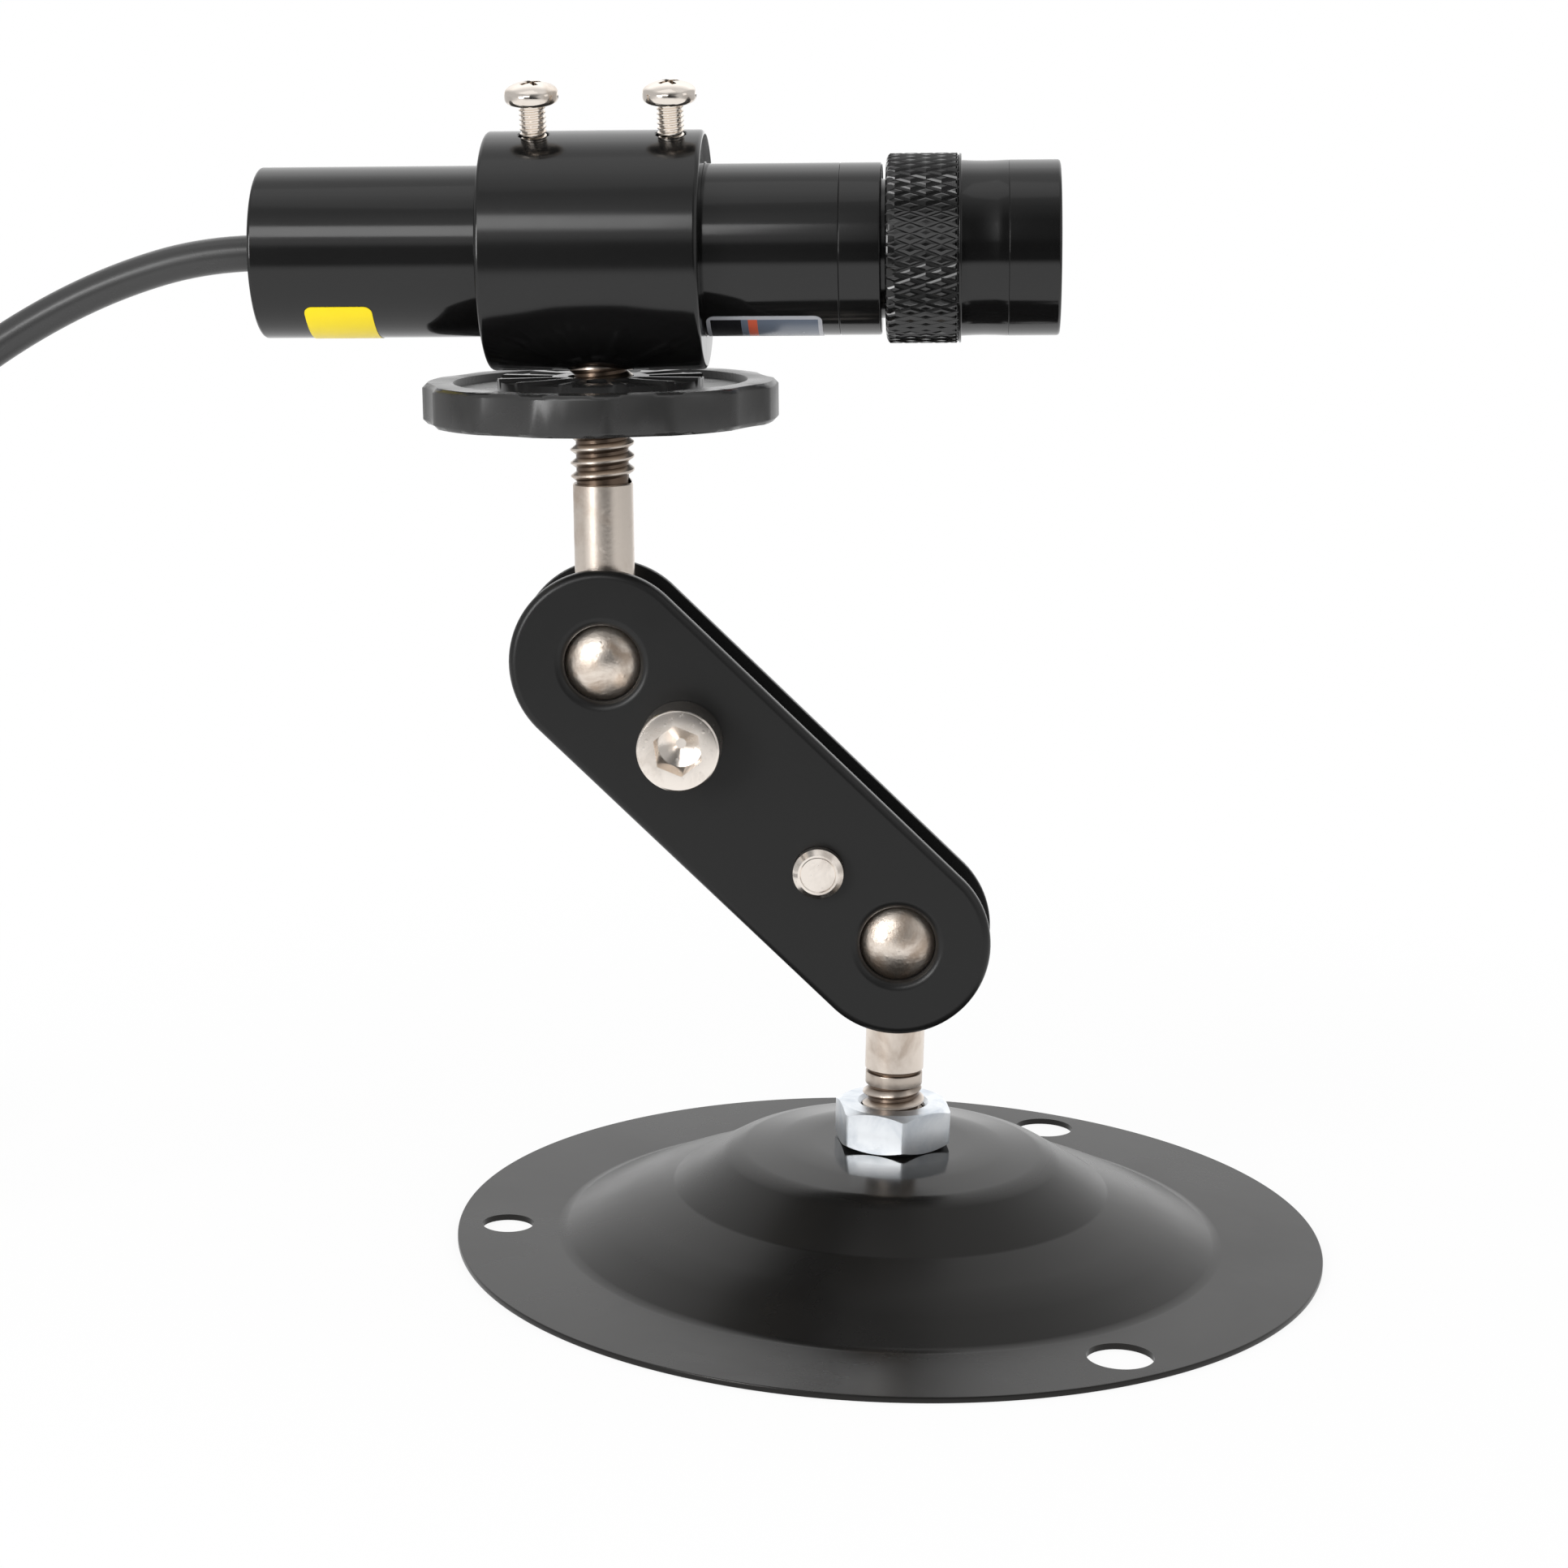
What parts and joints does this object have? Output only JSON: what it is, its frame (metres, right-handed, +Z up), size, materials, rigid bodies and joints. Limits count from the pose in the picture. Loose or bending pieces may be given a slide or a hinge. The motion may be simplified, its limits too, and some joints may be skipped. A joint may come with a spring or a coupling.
{
  "type": "laser diode module with ball jointed stand",
  "caption": "Laser diode module with a focusing ring, clamped in a collar on a ball jointed arm with a round base, and a lead with a barrel plug.",
  "frame": {"origin": "middle of the base's underside", "axes": "+Z up, +X the way the module points, so that the arm leans towards -X"},
  "size_m": [0.1944, 0.0858, 0.1124],
  "materials": {
    "base_paint": "satin dark grey coating on pressed steel",
    "zinc": "bright zinc plate",
    "nickel": "turned, nickel plated steel",
    "arm_paint": "satin black coating on steel",
    "bolt_steel": "bright nickel plated steel",
    "disc_plastic": "moulded black plastic",
    "black_anodised": "black anodised, turned",
    "screw_nickel": "nickel plated steel",
    "plug_plastic": "moulded black",
    "spring_steel": "spring steel",
    "window_glass": "clear, polished",
    "cell_brass": "turned",
    "lens_glass": "clear, coated",
    "mount_brass": "turned",
    "diode_nickel": "plated can",
    "board_laminate": "green laminate",
    "chip_plastic": "moulded",
    "capacitor_sleeve": "sleeved can",
    "trimmer_plastic": "moulded blue",
    "wire_plastic": "extruded",
    "lead_jacket": "extruded black, smooth",
    "yellow_film": "bare yellow film",
    "grey_film": "printed film with plain colour fields",
    "barrel_nickel": "plated barrel"
  },
  "bodies": {
    "base": {"base_plate": "base_paint", "base_nut": "zinc", "inner_washer": "zinc", "inner_nut": "zinc"},
    "lower_post": {"lower_ball_stud": "nickel"},
    "arm": {"front_plate": "arm_paint", "rear_plate": "arm_paint", "upper_clamp_bolt": "bolt_steel", "lower_clamp_bolt": "bolt_steel"},
    "upper_post": {"upper_ball_stud": "nickel"},
    "hand_nut": {"lock_disc": "disc_plastic"},
    "head": {"collar": "black_anodised", "rear_collar_screw": "screw_nickel", "front_collar_screw": "screw_nickel"},
    "module": {"housing_tube": "black_anodised", "rear_plug": "plug_plastic", "front_sleeve": "black_anodised", "ring_clip": "spring_steel", "diode_mount": "mount_brass", "laser_diode": "diode_nickel", "driver_board": "board_laminate", "regulator_chip": "chip_plastic", "filter_capacitor": "capacitor_sleeve", "current_trimmer": "trimmer_plastic", "lead_wires": "wire_plastic", "lead_jacket_end": "lead_jacket", "yellow_label": "yellow_film", "front_label": "grey_film", "power_lead": "lead_jacket", "lead_coil": "lead_jacket", "plug_body": "plug_plastic", "plug_barrel": "barrel_nickel"},
    "focus": {"focus_ring": "black_anodised", "front_cap": "black_anodised", "front_window": "window_glass", "window_retainer": "black_anodised"},
    "lens": {"lens_cell": "cell_brass", "collimator_lens": "lens_glass", "lens_retainer": "cell_brass"}
  },
  "joints": [
    {"name": "post_turn", "type": "hinge", "parent": "base", "child": "lower_post", "pos_m": [0, 0, 0.031], "axis": [0, 0, 1], "continuous": true},
    {"name": "arm_tilt", "type": "hinge", "parent": "lower_post", "child": "arm", "pos_m": [0, 0, 0.031], "axis": [0, 1, 0], "range_deg": [-40, 75]},
    {"name": "head_tilt", "type": "hinge", "parent": "arm", "child": "upper_post", "pos_m": [-0.02905, 0, 0.05762], "axis": [0, 1, 0], "range_deg": [-75, 45]},
    {"name": "hand_nut_turn", "type": "hinge", "parent": "upper_post", "child": "hand_nut", "pos_m": [-0.02905, 0, 0.05762], "axis": [-0.0332, 0, 0.9995], "continuous": true},
    {"name": "head_turn", "type": "hinge", "parent": "upper_post", "child": "head", "pos_m": [-0.02905, 0, 0.05762], "axis": [-0.0332, 0, 0.9995], "range_deg": [-180, 180]},
    {"name": "module_roll", "type": "hinge", "parent": "head", "child": "module", "pos_m": [-0.03034, 0, 0.0964], "axis": [0.9995, 0, 0.0332], "range_deg": [-90, 90]},
    {"name": "focus_turn", "type": "hinge", "parent": "module", "child": "focus", "pos_m": [-0.03034, 0, 0.0964], "axis": [0.9995, 0, 0.0332], "range_deg": [-360, 360]},
    {"name": "focus_travel", "type": "slide", "parent": "module", "child": "lens", "axis": [0.9995, 0, 0.0332], "range_m": [-0.00052, 0.00052]}
  ],
  "couplings": [
    {"joint": "focus_travel", "follows": "focus_turn", "m_per_rad": 0.000079577}
  ]
}
